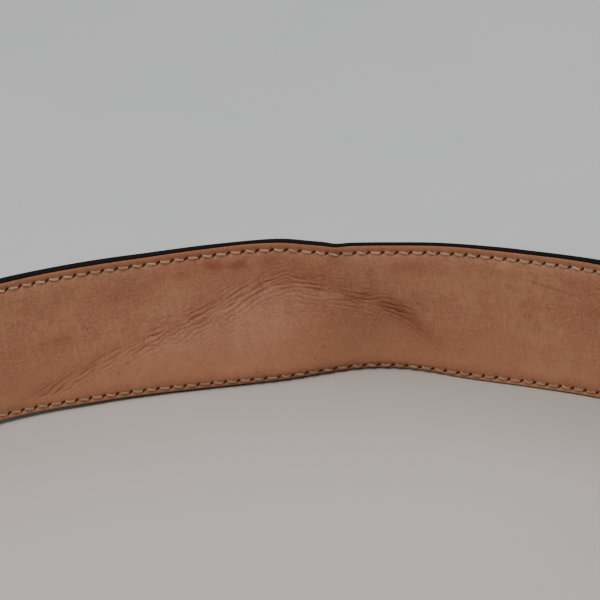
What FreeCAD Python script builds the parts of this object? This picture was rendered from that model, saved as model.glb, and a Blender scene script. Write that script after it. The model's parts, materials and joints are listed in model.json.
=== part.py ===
"""A leather money belt, unfastened and standing on its lower edge in a loose round loop.

Black outer leather, a filler and a tan lining are sewn together along both edges. The filler has a long window in it, the
money pocket, which a metal zip in the lining opens. At the front, the outer leather folds round the buckle's bar and is held
by two two-part screws, with the keeper loop trapped between them. The other end passes inside the buckle to its rounded tip.

Every piece is built in the belt's own frame, in millimetres: origin at the loop's centre at half the belt's width, Z across
the belt's width, and the buckle at the front, towards -Y. A place along the belt is given by s, from the buckle's bar to the
tip, and w, from the inner face of the outer leather towards the inside of the loop. Last, the whole belt is tilted as it
stands, because the buckle is wider than the strap, and set down with the middle of its underside at the origin.
"""

import FreeCAD
import Part

import math
import os

from FreeCAD import Placement, Rotation, Vector

# the belt's size
WAIST = 812.8  # from the bar to the middle hole
HOLES = 5
HOLE_PITCH = 25.4
END_HOLE_TO_TIP = 85.0
LENGTH = WAIST + HOLES // 2 * HOLE_PITCH + END_HOLE_TO_TIP
HALF_WIDTH = 19.0
HOLE_RADIUS = 2.1
TIP_LENGTH = 28.0  # of the rounded end

# the leathers, from the outside in
OUTER = 1.6
FILLER = 2.0
LINING = 1.0
FACE = FILLER + LINING  # w of the lining's face
FILLER_SHORT = 0.3  # the filler stops this far inside the edge
LINING_SHORT = 0.1

# the way the belt is laid: a straight buckle end, the round loop, then the tip end curling inside the buckle
LOOP_RADIUS = 142.0
STRAIGHT = 64.0
LOOP_TURN = 288.0  # degrees
CURL_RADIUS = 75.0
CURL_TURN = 66.0
END_RADIUS = 260.0

# the buckle end
NARROW = 0.6  # the belt is this much narrower on each edge at the buckle
NARROW_FROM, NARROW_TO = 52.0, 62.0
BAR_RADIUS = 1.8
FOLD_RADIUS = 2.2
BAR_W = FOLD_RADIUS
FLAP = 1.4
FLAP_END = 59.0
FLAP_DROP = 14.0  # the flap comes down on the lining over this length
LAYERS_START = 13.5
SLOT_HALF = 3.7
SLOT_END = 13.0
SCREW_S = (20.0, 50.0)
POST_RADIUS, SHANK_RADIUS, HEAD_RADIUS = 2.5, 1.9, 4.75
POST_HEAD, SCREW_HEAD = 1.2, 1.1
SCREW_SLOT, SCREW_SLOT_DEPTH = 1.1, 0.55

# the buckle
RAIL_INSIDE, RAIL = 20.0, 5.0
FRAME_FRONT, FRONT_BAR = 36.0, 5.5
FRAME_HALF_THICK = 2.3
EAR_RADIUS = 3.2
BAR_END = 23.0
PRONG_HALF, PRONG_THICK, CURL_OUTER, CURL_INNER = 2.5, 2.0, 3.5, 1.9
PRONG_LENGTH = 36.6
PRONG_SEAT = BAR_W - CURL_OUTER + PRONG_THICK  # w of the prong's underside
NOTCH_HALF = 3.1

# the keeper loop
KEEPER_S, KEEPER_WIDTH, KEEPER_WALL = 35.0, 12.0, 1.6
KEEPER_GAP = 5.4  # room for the tip end between the belt and the keeper
KEEPER_PLAY = 0.5

# the zip and its pocket, placed by their angle round the loop
ZIP_FROM, ZIP_TO = 42.0, 130.0  # degrees from the front
WINDOW_HALF = 4.5
POCKET_PAST, POCKET_HALF = 7.0, 14.0
TAPE, TAPE_EDGE, TEETH_EDGE = 0.45, 13.4, 2.3
TEETH_W = FILLER - TAPE / 2
TOOTH_PITCH, TOOTH, TOOTH_HALF_THICK, TOOTH_NOSE = 2.2, 1.0, 0.75, 0.55
SLIDER_HALF_LENGTH, SLIDER_HALF_WIDTH, SLIDER_PLATE = 4.6, 3.7, 0.7
SLIDER_CLEAR = 0.12
DIAMOND_FROM, DIAMOND_TO, DIAMOND_HALF = 1.6, 3.9, 1.2
STOP = 2.0
PULL_W, PULL_PIN, PULL_LENGTH, PULL_HALF, PULL_THICK = 4.5, 0.45, 22.0, 2.6, 1.1
PULL_LIFT = 5.0  # degrees that the resting pull stands off the curved face
ARCH_HALF, ARCH_WIDTH, ARCH_THICK = 3.0, 0.8, 0.65

# the sewing
STITCH_Z = 16.2
THREAD, THREAD_PROUD = 0.7, 0.35


def loop_s(angle):
    """s of the place on the round loop at this angle from the front, in degrees."""
    return STRAIGHT + LOOP_RADIUS * math.radians(angle)


ZIP_START, ZIP_END = loop_s(ZIP_FROM), loop_s(ZIP_TO)
SLIDER_S = ZIP_END - WINDOW_HALF - STOP - SLIDER_HALF_LENGTH


# --- the belt's path ---


def make_path():
    """The path's stretches: (s at its start, its length, start point, heading, radius), with no radius on a straight."""
    stretches = []
    s, point, heading = 0.0, Vector(-STRAIGHT, -LOOP_RADIUS, 0), 0.0
    loop = LOOP_RADIUS * math.radians(LOOP_TURN)
    curl = CURL_RADIUS * math.radians(CURL_TURN)
    for length, radius in (
        (STRAIGHT, None),
        (loop, LOOP_RADIUS),
        (curl, CURL_RADIUS),
        (LENGTH - STRAIGHT - loop - curl, END_RADIUS),
    ):
        stretches.append((s, length, point, heading, radius))
        s, point, heading = s + length, *ahead(stretches[-1], length)
    return stretches


def ahead(stretch, distance):
    """The point and the heading this far along a stretch."""
    _, _, start, heading, radius = stretch
    if radius is None:
        return start + Vector(math.cos(heading), math.sin(heading), 0) * distance, heading
    turned = heading + distance / radius
    step = Vector(math.sin(turned) - math.sin(heading), math.cos(heading) - math.cos(turned), 0)
    return start + step * radius, turned


def offset(stretch, distance, w):
    """The point this far along a stretch and w inwards."""
    point, heading = ahead(stretch, distance)
    return point + Vector(-math.sin(heading), math.cos(heading), 0) * w


def at(s, w=0.0):
    """The point at s along the belt and w inwards, at half its width."""
    stretch = [part for part in PATH if part[0] <= s][-1] if s > 0 else PATH[0]
    return offset(stretch, s - stretch[0], w)


def local(shape, s):
    """A shape drawn as (along the belt, inwards, up) about the belt at s, put in its place."""
    along = at(s + 0.01) - at(s - 0.01)
    turn = math.degrees(math.atan2(along.y, along.x))
    placed = shape.copy()
    placed.Placement = Placement(at(s), Rotation(Vector(0, 0, 1), turn)).multiply(placed.Placement)
    return placed


def run(s0, s1, w):
    """The edges of the line at w from s0 to s1."""
    edges = []
    for stretch in PATH:
        start, length, _, _, radius = stretch
        a, b = max(s0 - start, 0), min(s1 - start, length)
        if b - a < 1e-6:
            continue
        near, middle, far = [offset(stretch, distance, w) for distance in (a, (a + b) / 2, b)]
        line = Part.Arc(near, middle, far) if radius else Part.LineSegment(near, far)
        edges.append(line.toShape())
    return edges


def band(s0, s1, w0, w1, z0, z1):
    """A solid that follows the belt from s0 to s1, between two depths and two heights."""
    near, far = run(s0, s1, w0), run(s0, s1, w1)
    ends = [
        Part.LineSegment(near[0].Vertexes[0].Point, far[0].Vertexes[0].Point).toShape(),
        Part.LineSegment(near[-1].Vertexes[-1].Point, far[-1].Vertexes[-1].Point).toShape(),
    ]
    wire = Part.Wire(Part.__sortEdges__(near + far + ends))
    solid = Part.Face(wire).extrude(Vector(0, 0, z1 - z0))
    solid.translate(Vector(0, 0, z0))
    return solid


def box(u0, u1, w0, w1, z0, z1):
    return Part.makeBox(u1 - u0, w1 - w0, z1 - z0, Vector(u0, w0, z0))


def through(radius, w0, w1, u=0.0, z=0.0):
    """A cylinder across the belt's thickness."""
    return Part.makeCylinder(radius, w1 - w0, Vector(u, w0, z), Vector(0, 1, 0))


def upright(radius, z0, z1, u=0.0, w=0.0):
    return Part.makeCylinder(radius, z1 - z0, Vector(u, w, z0), Vector(0, 0, 1))


def prism(points, axis, start, depth):
    """A polygon pushed along u or w. Its points are (z, w) or (u, z)."""
    if axis == "u":
        corners = [Vector(start, w, z) for z, w in points]
        push = Vector(depth, 0, 0)
    else:
        corners = [Vector(u, start, z) for u, z in points]
        push = Vector(0, depth, 0)
    return Part.Face(Part.makePolygon(corners + corners[:1])).extrude(push)


def solid(*shapes):
    joined = shapes[0]
    if len(shapes) > 1:
        joined = joined.multiFuse(list(shapes[1:]))
    return joined.removeSplitter()


# --- what is cut out of several layers ---


def tip_cutter(inset):
    """What lies outside the belt's rounded tip."""
    end = Part.Ellipse(Vector(0, 0, 0), TIP_LENGTH - inset, HALF_WIDTH - inset)
    disc = Part.Face(Part.Wire([end.toShape()])).extrude(Vector(0, 0, 20))
    disc.rotate(Vector(0, 0, 0), Vector(1, 0, 0), 90)
    disc.translate(Vector(0, 10, 0))
    square = box(0, TIP_LENGTH + 10, -10, 10, -HALF_WIDTH - 2, HALF_WIDTH + 2)
    return local(square.cut(disc), LENGTH - TIP_LENGTH)


def narrow_cutters():
    """What comes off both edges where the belt is narrower at the buckle."""
    top = HALF_WIDTH + 3
    slim = HALF_WIDTH - NARROW
    outline = [(-20, top), (-20, slim), (NARROW_FROM, slim), (NARROW_TO, HALF_WIDTH), (NARROW_TO, top)]
    upper = local(prism(outline, "w", -15, 40), 0)
    lower = upper.mirror(Vector(0, 0, 0), Vector(0, 0, 1))
    return [upper, lower]


def hole_cutters():
    last = LENGTH - END_HOLE_TO_TIP
    return [local(through(HOLE_RADIUS, -5, 6), last - k * HOLE_PITCH) for k in range(HOLES)]


def screw_cutters():
    return [local(through(POST_RADIUS, -5, 9), s) for s in SCREW_S]


def cut(shape, *cutters):
    return shape.cut(list(cutters)).removeSplitter()


# --- the strap ---


def s_curve(start, end):
    """Two arcs that leave start and reach end along u."""
    run_length, drop = end.x - start.x, end.y - start.y
    radius = (run_length**2 + drop**2) / (4 * abs(drop))
    half_turn = math.atan2(abs(drop), run_length)
    side = math.copysign(1, drop)
    step = Vector(radius * math.sin(half_turn), side * radius * (1 - math.cos(half_turn)), 0)
    middle = (start + end) * 0.5
    return [
        Part.Arc(start, start + step, middle).toShape(),
        Part.Arc(middle, end - step, end).toShape(),
    ]


def fold():
    """The outer leather's turn round the bar and the flap that lies on the lining."""
    inner_r, outer_r = FOLD_RADIUS, FOLD_RADIUS + OUTER
    inner = [Vector(0, 0, 0), Vector(-inner_r, BAR_W, 0), Vector(0, BAR_W + inner_r, 0)]
    outer = [Vector(0, -OUTER, 0), Vector(-outer_r, BAR_W, 0), Vector(0, BAR_W + outer_r, 0)]
    lands = Vector(FLAP_DROP, FACE, 0), Vector(FLAP_DROP, FACE + FLAP, 0)
    ends = Vector(FLAP_END, FACE, 0), Vector(FLAP_END, FACE + FLAP, 0)
    edges = [
        Part.LineSegment(outer[0], inner[0]).toShape(),
        Part.Arc(*inner).toShape(),
        Part.Arc(*outer).toShape(),
        *s_curve(inner[2], lands[0]),
        *s_curve(outer[2], lands[1]),
        Part.LineSegment(lands[0], ends[0]).toShape(),
        Part.LineSegment(lands[1], ends[1]).toShape(),
        Part.LineSegment(*ends).toShape(),
    ]
    wire = Part.Wire(Part.__sortEdges__(edges))
    shape = Part.Face(wire).extrude(Vector(0, 0, 2 * HALF_WIDTH))
    shape.translate(Vector(0, 0, -HALF_WIDTH))
    corner = 8.0
    rounding = [(-20, 30), (FLAP_END - corner, 30), (FLAP_END - corner, HALF_WIDTH - NARROW)]
    rounding += [(FLAP_END, HALF_WIDTH - NARROW - corner), (FLAP_END, -HALF_WIDTH + NARROW + corner)]
    rounding += [(FLAP_END - corner, -HALF_WIDTH + NARROW), (FLAP_END - corner, -30), (-20, -30)]
    return local(shape.common(prism(rounding, "w", -10, 30)), 0)


def outer_strap():
    strap = band(0, LENGTH, -OUTER, 0, -HALF_WIDTH, HALF_WIDTH)
    reach = FOLD_RADIUS + OUTER + 1
    slot = box(-reach, SLOT_END - SLOT_HALF, -reach, 12, -SLOT_HALF, SLOT_HALF)
    slot_end = through(SLOT_HALF, -reach, 12, SLOT_END - SLOT_HALF)
    cutters = [local(slot, 0), local(slot_end, 0), tip_cutter(0)]
    return cut(solid(strap, fold()), *cutters, *narrow_cutters(), *hole_cutters(), *screw_cutters())


def filler():
    edge = HALF_WIDTH - FILLER_SHORT
    layer = band(LAYERS_START, LENGTH, 0, FILLER, -edge, edge)
    pocket = band(ZIP_START - POCKET_PAST, ZIP_END + POCKET_PAST, -1, FILLER + 1, -POCKET_HALF, POCKET_HALF)
    narrow = [c.translated(Vector(0, 0, side * -FILLER_SHORT)) for c, side in zip(narrow_cutters(), (1, -1))]
    return cut(layer, pocket, tip_cutter(FILLER_SHORT), *narrow, *hole_cutters(), *screw_cutters())


def lining():
    edge = HALF_WIDTH - LINING_SHORT
    layer = band(LAYERS_START, LENGTH, FILLER, FACE, -edge, edge)
    window = band(ZIP_START + WINDOW_HALF, ZIP_END - WINDOW_HALF, 1, 5, -WINDOW_HALF, WINDOW_HALF)
    rounds = [local(through(WINDOW_HALF, 1, 5), s) for s in (ZIP_START + WINDOW_HALF, ZIP_END - WINDOW_HALF)]
    return cut(layer, window, *rounds, tip_cutter(LINING_SHORT), *narrow_cutters(), *hole_cutters(), *screw_cutters())


def pocket_backing():
    """The thin fabric that lines the money pocket against the outer leather."""
    inset = 0.2
    start, end = ZIP_START - POCKET_PAST + inset, ZIP_END + POCKET_PAST - inset
    return band(start, end, 0.0, 0.15, -POCKET_HALF + inset, POCKET_HALF - inset)


def thread(side, inner):
    """One row of sewing on one face, drawn as a plain flat thread. Side is 1 on the upper edge and -1 on the lower."""
    z0, z1 = sorted((side * (STITCH_Z - THREAD / 2), side * (STITCH_Z + THREAD / 2)))
    end = LENGTH - TIP_LENGTH * 0.55
    if not inner:
        return band(4, end, -OUTER - THREAD_PROUD, -OUTER, z0, z1)
    on_flap = band(FLAP_DROP, FLAP_END - 5, FACE + FLAP, FACE + FLAP + THREAD_PROUD, z0, z1)
    return Part.makeCompound([on_flap, band(FLAP_END + 1, end, FACE, FACE + THREAD_PROUD, z0, z1)])


# --- the screws through the fold ---


def domed_head(radius, height, w, way):
    """A low domed disc that sits on the face at w and stands out along way."""
    edge = 0.35
    disc = through(radius, min(w, w + way * height), max(w, w + way * height))
    top = [e for e in disc.Edges if abs(e.BoundBox.YMin - (w + way * height)) < 1e-6 and e.BoundBox.YLength < 1e-6]
    return disc.makeFillet(height - edge, top)


def screw_post():
    """The outer half: a domed head with a hollow post."""
    post = through(POST_RADIUS, -OUTER - 0.1, FACE + FLAP)
    bore = through(SHANK_RADIUS, 0.4, FACE + FLAP + 1)
    return solid(domed_head(HEAD_RADIUS, POST_HEAD, -OUTER, -1), post).cut(bore)


def screw():
    """The inner half: a slotted head on a shank that fills the post."""
    face = FACE + FLAP
    shank = through(SHANK_RADIUS, 1.2, face + 0.1)
    top = face + SCREW_HEAD
    slot = box(-HEAD_RADIUS, HEAD_RADIUS, top - SCREW_SLOT_DEPTH, top + 1, -SCREW_SLOT / 2, SCREW_SLOT / 2)
    return solid(domed_head(HEAD_RADIUS, SCREW_HEAD, face, 1), shank).cut(slot)


def at_screws(shape):
    return Part.makeCompound([local(shape, s) for s in SCREW_S])


# --- the buckle ---


def front_rounded(u0, u1, w0, w1, z, corner):
    """A block with its two front corners rounded."""
    block = box(u0, u1, w0, w1, -z, z)
    front = [e for e in block.Edges if e.BoundBox.XMax < u0 + 1e-6 and e.BoundBox.YLength > (w1 - w0) / 2]
    return block.makeFillet(corner, front)


def buckle_frame():
    """A cast frame, open at the heel, where its two ears hold the bar."""
    w0, w1 = BAR_W - FRAME_HALF_THICK, BAR_W + FRAME_HALF_THICK
    outside = front_rounded(-FRAME_FRONT, 0, w0, w1, RAIL_INSIDE + RAIL, 7.0)
    inside = front_rounded(-FRAME_FRONT + FRONT_BAR, 9, w0 - 1, w1 + 1, RAIL_INSIDE, 3.5)
    frame = outside.cut(inside)
    long_edges = [e for e in frame.Edges if e.BoundBox.YLength < 1e-3 and e.BoundBox.XMin < -1]
    frame = frame.makeFillet(1.3, long_edges)
    ears = [upright(EAR_RADIUS, z, z + RAIL, 0, BAR_W) for z in (-RAIL_INSIDE - RAIL, RAIL_INSIDE)]
    notch = box(-FRAME_FRONT - 1, -FRAME_FRONT + FRONT_BAR + 1, w0 - 1, PRONG_SEAT + 0.12, -NOTCH_HALF, NOTCH_HALF)
    bore = upright(BAR_RADIUS, -BAR_END, BAR_END, 0, BAR_W)
    return local(solid(frame, *ears).cut([notch, bore]), 0)


def buckle_bar():
    return local(upright(BAR_RADIUS, -BAR_END, BAR_END, 0, BAR_W), 0)


def buckle_prong():
    """A flat prong curled round the bar, tapering to a rounded point on the frame's front."""
    curl = upright(CURL_OUTER, -PRONG_HALF, PRONG_HALF, 0, BAR_W)
    tip = 1.7
    outline = [(-0.6, PRONG_HALF), (-PRONG_LENGTH + 9, PRONG_HALF), (-PRONG_LENGTH, tip)]
    outline += [(u, -z) for u, z in reversed(outline)]
    shank = prism(outline, "w", PRONG_SEAT - PRONG_THICK, PRONG_THICK)
    end = [e for e in shank.Edges if e.BoundBox.XMax < -PRONG_LENGTH + 1e-6 and e.BoundBox.YLength > 1]
    shank = shank.makeFillet(tip - 0.15, end)
    outer_edges = [e for e in shank.Edges if e.BoundBox.YMax < PRONG_SEAT - PRONG_THICK + 1e-6 and e.BoundBox.XMax < -1]
    shank = shank.makeFillet(0.5, outer_edges)
    bore = upright(CURL_INNER, -PRONG_HALF - 1, PRONG_HALF + 1, 0, BAR_W)
    return local(solid(curl, shank).cut(bore), 0)


# --- the keeper ---


def keeper_staple():
    """The wire staple that closes the keeper's two ends on the inside."""
    face = FACE + FLAP + KEEPER_PLAY + KEEPER_WALL
    wire, half = 0.5, 4.0
    crown = box(-wire, wire, face, face + 0.5, -half, half)
    legs = [box(-wire, wire, face - 0.9, face + 0.1, z - wire, z + wire) for z in (wire - half, half - wire)]
    return local(solid(crown, *legs), KEEPER_S)


def keeper_loop():
    w0, w1 = -OUTER - KEEPER_GAP, FACE + FLAP + KEEPER_PLAY
    z = HALF_WIDTH - NARROW + KEEPER_PLAY
    half = KEEPER_WIDTH / 2
    inside = box(-half - 1, half + 1, w0, w1, -z, z)
    wall = KEEPER_WALL
    outside = box(-half, half, w0 - wall, w1 + wall, -z - wall, z + wall)
    outside = outside.makeFillet(2.4, [e for e in outside.Edges if e.BoundBox.XLength > half])
    inside = inside.makeFillet(0.9, [e for e in inside.Edges if e.BoundBox.XLength > half])
    return local(outside.cut(inside), KEEPER_S).cut(keeper_staple())


# --- the zip ---


def zip_tape(side):
    z0, z1 = sorted((side * TEETH_EDGE, side * TAPE_EDGE))
    start, end = ZIP_START - POCKET_PAST + 0.5, ZIP_END + POCKET_PAST - 0.5
    return band(start, end, FILLER - TAPE, FILLER, z0, z1)


def zip_teeth(side):
    """One row of metal teeth, meshed with the other from the bottom stop to the slider."""
    nose, thick = TOOTH_NOSE, TOOTH_HALF_THICK
    profile = [(-nose, -0.35), (-nose, 0.35), (0.1, thick), (TEETH_EDGE, thick)]
    profile += [(TEETH_EDGE, -thick), (0.1, -thick)]
    tooth = prism([(side * z, w + TEETH_W) for z, w in profile], "u", -TOOTH / 2, TOOTH)
    first = ZIP_START + WINDOW_HALF + STOP + 1
    if side < 0:
        first += TOOTH_PITCH / 2
    last = SLIDER_S + DIAMOND_FROM - 1
    count = int((last - first) / TOOTH_PITCH) + 1
    return Part.makeCompound([local(tooth, first + k * TOOTH_PITCH) for k in range(count)])


def zip_top_stops():
    """A small metal clip at the end of each tape's row of teeth."""
    w0, w1 = TEETH_W - TOOTH_HALF_THICK, TEETH_W + TOOTH_HALF_THICK
    s = SLIDER_S + SLIDER_HALF_LENGTH + 0.3
    return Part.makeCompound(
        [local(box(0, STOP, w0, w1, *zs), s) for zs in ((0.4, TEETH_EDGE), (-TEETH_EDGE, -0.4))]
    )


def zip_bottom_stop():
    w0, w1 = TEETH_W - TOOTH_HALF_THICK, TEETH_W + TOOTH_HALF_THICK
    stop = box(0, STOP, w0, w1, -TEETH_EDGE, TEETH_EDGE)
    return local(stop, ZIP_START + WINDOW_HALF - 0.3)


def slider_outline():
    """The slider seen from the face: wide shoulders where the tapes part, and a narrower tail."""
    half, wide = SLIDER_HALF_LENGTH, SLIDER_HALF_WIDTH
    upper = [(-half, wide - 0.5), (-half + 1, wide - 0.25), (1.2, wide), (half - 1.2, wide), (half, wide - 1.4)]
    upper += [(half - 1.0, 0.9)]
    return upper + [(u, -z) for u, z in reversed(upper)]


def zip_slider():
    """Two plates joined by the wedge that parts the teeth, their edges turned in round the tapes, and the pull's arch."""
    near = SLIDER_S - SLIDER_HALF_LENGTH, SLIDER_S + SLIDER_HALF_LENGTH
    top = TEETH_W + TOOTH_HALF_THICK + SLIDER_CLEAR
    bottom = TEETH_W - TOOTH_HALF_THICK - SLIDER_CLEAR
    wide, flange = SLIDER_HALF_WIDTH, 0.8
    pieces = [band(*near, top, top + SLIDER_PLATE, -wide, wide), band(*near, bottom - SLIDER_PLATE, bottom, -wide, wide)]
    for z0, z1 in ((wide - flange, wide), (-wide, flange - wide)):
        pieces.append(band(*near, FILLER + SLIDER_CLEAR, top + 0.1, z0, z1))
        pieces.append(band(*near, bottom - 0.1, FILLER - TAPE - SLIDER_CLEAR, z0, z1))
    wedge_w = bottom - 0.1, top + 0.1
    wedge = [(DIAMOND_FROM, 0.35), (DIAMOND_TO - 0.8, DIAMOND_HALF), (DIAMOND_TO, DIAMOND_HALF - 0.5)]
    wedge += [(u, -z) for u, z in reversed(wedge)]
    pieces.append(local(prism(wedge, "w", wedge_w[0], wedge_w[1] - wedge_w[0]), SLIDER_S))
    body = solid(*pieces).common(local(prism(slider_outline(), "w", -3, 12), SLIDER_S))
    return solid(body, slider_arch(top + SLIDER_PLATE))


def slider_arch(base):
    """The small bridge on the slider that the pull hangs on."""
    crown = PULL_W + PULL_PIN + 0.2 + ARCH_THICK
    outer = box(-ARCH_HALF, ARCH_HALF, base - 0.2, crown, -ARCH_WIDTH, ARCH_WIDTH)
    outer = outer.makeFillet(1.1, [e for e in outer.Edges if e.BoundBox.YMin > crown - 0.01 and e.BoundBox.ZLength > 1])
    inner = box(ARCH_THICK - ARCH_HALF, ARCH_HALF - ARCH_THICK, base - 1, crown - ARCH_THICK, -2, 2)
    return local(outer.cut(inner), SLIDER_S)


def zip_pull():
    """A flat tab with an eye whose crossbar lies under the slider's arch. It rests lying back over the teeth."""
    half_thick, eye = PULL_THICK / 2, 1.25
    tab = box(-PULL_LENGTH, 0, -half_thick, half_thick, -PULL_HALF, PULL_HALF)
    tab = tab.makeFillet(1.2, [e for e in tab.Edges if e.BoundBox.XMax < -PULL_LENGTH + 1e-6 and e.BoundBox.YLength > 1])
    opening = box(-ARCH_HALF - 1.6, 1, -2, 2, -eye, eye)
    hole = through(1.0, -2, 2, -PULL_LENGTH + 3.4)
    pin = upright(PULL_PIN, -PULL_HALF, PULL_HALF)
    shape = solid(tab.cut([opening, hole]), pin)
    shape.rotate(Vector(0, 0, 0), Vector(0, 0, 1), -PULL_LIFT)
    return local(shape.translated(Vector(0, PULL_W, 0)), SLIDER_S)


# --- the whole belt ---


def build():
    return {
        "outer_strap": outer_strap(),
        "filler": filler(),
        "lining": lining(),
        "pocket_backing": pocket_backing(),
        "thread_inner_upper": thread(1, True),
        "thread_inner_lower": thread(-1, True),
        "thread_outer_upper": thread(1, False),
        "thread_outer_lower": thread(-1, False),
        "screw_posts": at_screws(screw_post()),
        "screws": at_screws(screw()),
        "buckle_frame": buckle_frame(),
        "buckle_bar": buckle_bar(),
        "buckle_prong": buckle_prong(),
        "keeper_loop": keeper_loop(),
        "keeper_staple": keeper_staple(),
        "zip_tape_upper": zip_tape(1),
        "zip_tape_lower": zip_tape(-1),
        "zip_teeth_upper": zip_teeth(1),
        "zip_teeth_lower": zip_teeth(-1),
        "zip_top_stops": zip_top_stops(),
        "zip_bottom_stop": zip_bottom_stop(),
        "zip_slider": zip_slider(),
        "zip_pull": zip_pull(),
    }


def resting_tilt():
    """The belt stands on the far side of its loop and on the buckle, which reaches lower than the strap."""
    foot = at(0)
    lower = RAIL_INSIDE + RAIL - HALF_WIDTH
    reach = foot.Length - EAR_RADIUS + LOOP_RADIUS + OUTER
    across = foot.cross(Vector(0, 0, 1))
    return Placement(Vector(), Rotation(across, math.degrees(math.asin(lower / reach))))


def set_down(shapes, tilt):
    """Tilts the shapes, and gives the move that brings the middle of their underside to the origin."""
    whole = FreeCAD.BoundBox()
    for shape in shapes.values():
        shape.Placement = tilt.multiply(shape.Placement)
        whole.add(shape.optimalBoundingBox(False))
    return Placement(Vector(-whole.Center.x, -whole.Center.y, -whole.ZMin), Rotation())


def tell(name, vector):
    print(f"place {name} {vector.x:.7f} {vector.y:.7f} {vector.z:.7f}")


PATH = make_path()


def main():
    os.makedirs("parts", exist_ok=True)
    shapes = build()
    tilt = resting_tilt()
    move = set_down(shapes, tilt)
    for name, shape in shapes.items():
        shape.Placement = move.multiply(shape.Placement)
        assert shape.isValid(), name
        shape.exportStep(f"parts/{name}.step")
    stand = move.multiply(tilt)
    half = SLIDER_HALF_LENGTH
    travel = SLIDER_S - half - (ZIP_START + WINDOW_HALF + STOP)
    tell("bar", stand.multVec(at(0, BAR_W)))
    tell("loop_centre", stand.multVec(Vector()))
    tell("pull_pivot", stand.multVec(at(SLIDER_S, PULL_W)))
    tell("far_edge", stand.multVec(at(0) * (-(LOOP_RADIUS + OUTER / 2) / at(0).Length) - Vector(0, 0, HALF_WIDTH)))
    tell("keeper", stand.multVec(at(KEEPER_S)))
    tell("strap_run", stand.multVec(at(STRAIGHT, (FACE - OUTER) / 2)))
    tell("along", stand.Rotation.multVec(at(STRAIGHT) - at(0)).normalize())
    tell("up", stand.Rotation.multVec(Vector(0, 0, 1)))
    print("slider_travel_deg", round(math.degrees(travel / LOOP_RADIUS), 2))


main()
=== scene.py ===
"""The money belt's visual model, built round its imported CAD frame.

The belt lies in a loose loop on its edge. Its leathers are built as flat patterns, cut out in the flat
and then bent along the belt's path. So every hole, seam and wrinkle is placed by s, the distance in
millimetres along the belt from the buckle's bar, and by z, the height from the belt's middle line. w is
the depth from the inner face of the outer leather towards the inside of the loop. Lengths are in
millimetres until place() turns them into the frame's metres.
"""

import json
import math

import bmesh
import bpy
import numpy as np
from mathutils import Matrix, Vector


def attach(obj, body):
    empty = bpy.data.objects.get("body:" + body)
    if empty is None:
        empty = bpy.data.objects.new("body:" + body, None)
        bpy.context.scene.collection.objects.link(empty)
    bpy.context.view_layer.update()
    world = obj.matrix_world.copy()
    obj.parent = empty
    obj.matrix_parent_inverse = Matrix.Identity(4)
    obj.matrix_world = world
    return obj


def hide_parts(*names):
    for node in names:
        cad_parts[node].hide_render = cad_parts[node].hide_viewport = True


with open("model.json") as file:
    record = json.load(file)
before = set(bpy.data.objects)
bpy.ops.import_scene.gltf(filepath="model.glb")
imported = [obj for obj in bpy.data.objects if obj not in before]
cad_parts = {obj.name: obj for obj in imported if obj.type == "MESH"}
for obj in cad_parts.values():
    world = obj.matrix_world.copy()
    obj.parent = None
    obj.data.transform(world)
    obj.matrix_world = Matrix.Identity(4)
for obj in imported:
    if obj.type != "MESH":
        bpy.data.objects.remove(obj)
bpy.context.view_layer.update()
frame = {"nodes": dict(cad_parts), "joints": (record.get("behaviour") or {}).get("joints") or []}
nodes = frame["nodes"]

# the belt's path, as the CAD lays it
STRAIGHT = 64.0
LOOP_RADIUS, LOOP_TURN = 142.0, math.radians(288)
CURL_RADIUS, CURL_TURN = 75.0, math.radians(66)
END_RADIUS = 260.0
LENGTH = 948.6
TIP_LENGTH = 28.0

# the strap
HALF_WIDTH = 19.0
NARROW, NARROW_FROM, NARROW_TO = 0.6, 52.0, 62.0
OUTER, FILLER, LINING, FLAP = 1.6, 2.0, 1.0, 1.4
LAYERS_START = 13.5
FOLD_RADIUS, FLAP_END, FLAP_DROP = 2.2, 59.0, 14.0
FOLD_LENGTH = math.pi * FOLD_RADIUS
FLAP_CORNER = 8.0
SLOT_HALF, SLOT_END = 3.7, 13.0
SCREW_S, SCREW_HOLE = (20.0, 50.0), 2.5
HOLE_RADIUS = 2.1
HOLE_S = [LENGTH - 85.0 - 25.4 * k for k in range(5)]

# the pocket and its zip
ZIP_START = STRAIGHT + LOOP_RADIUS * math.radians(42)
ZIP_END = STRAIGHT + LOOP_RADIUS * math.radians(130)
WINDOW_HALF = 4.5
POCKET_PAST, POCKET_HALF = 7.0, 14.0
TAPE, TAPE_EDGE, TEETH_EDGE = 0.45, 13.4, 2.3
TAPE_GAP = 0.5  # from the pocket's ends to the tapes'
CLOTH_GAP, CLOTH_SIDE_GAP = 0.3, 0.4  # from the tapes' ends to the cloth's, and from the pocket's sides

# the keeper
KEEPER_S, KEEPER_WIDTH, KEEPER_WALL = 35.0, 12.0, 1.6
KEEPER_W = (-OUTER - 5.4, FILLER + LINING + FLAP + 0.5)
KEEPER_Z = HALF_WIDTH - NARROW + 0.5

# the sewing, a little closer to the lower edge than to the upper
TOP_INSET, LOW_INSET, ZIP_INSET = 2.4, 1.5, 2.2
STITCH = 3.9
INNER_START, OUTER_START = 61.0, 5.0
FLAP_SEAM = (52.0, 15.0)

# relief in the lining
SQUEEZE = 0.45  # how far the sewing squeezes the layers together
GROOVE_DEPTH, NEEDLE_DEPTH = 0.14, 0.3
FOLD_DEPTH, WRINKLE_DEPTH = 0.65, 0.24

# the stretch that faces the camera has the fine mesh
FINE_FROM, FINE_TO = 396.0, 596.0
FINE, COARSE, AT_BAR = 0.22, 1.5, 0.6
PATCH = 7.0  # half the height of the patch that an opening is cut in
PATCH_PAST = 1.6  # and how far it goes past the opening's ends
EDGE_STEPS = (0.0, 0.04, 0.12, 0.25, 0.45, 0.75, 1.1)  # mesh lines in from a rounded edge
PAINT_REACH = 0.26  # faces this close to an outer edge are painted

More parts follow.
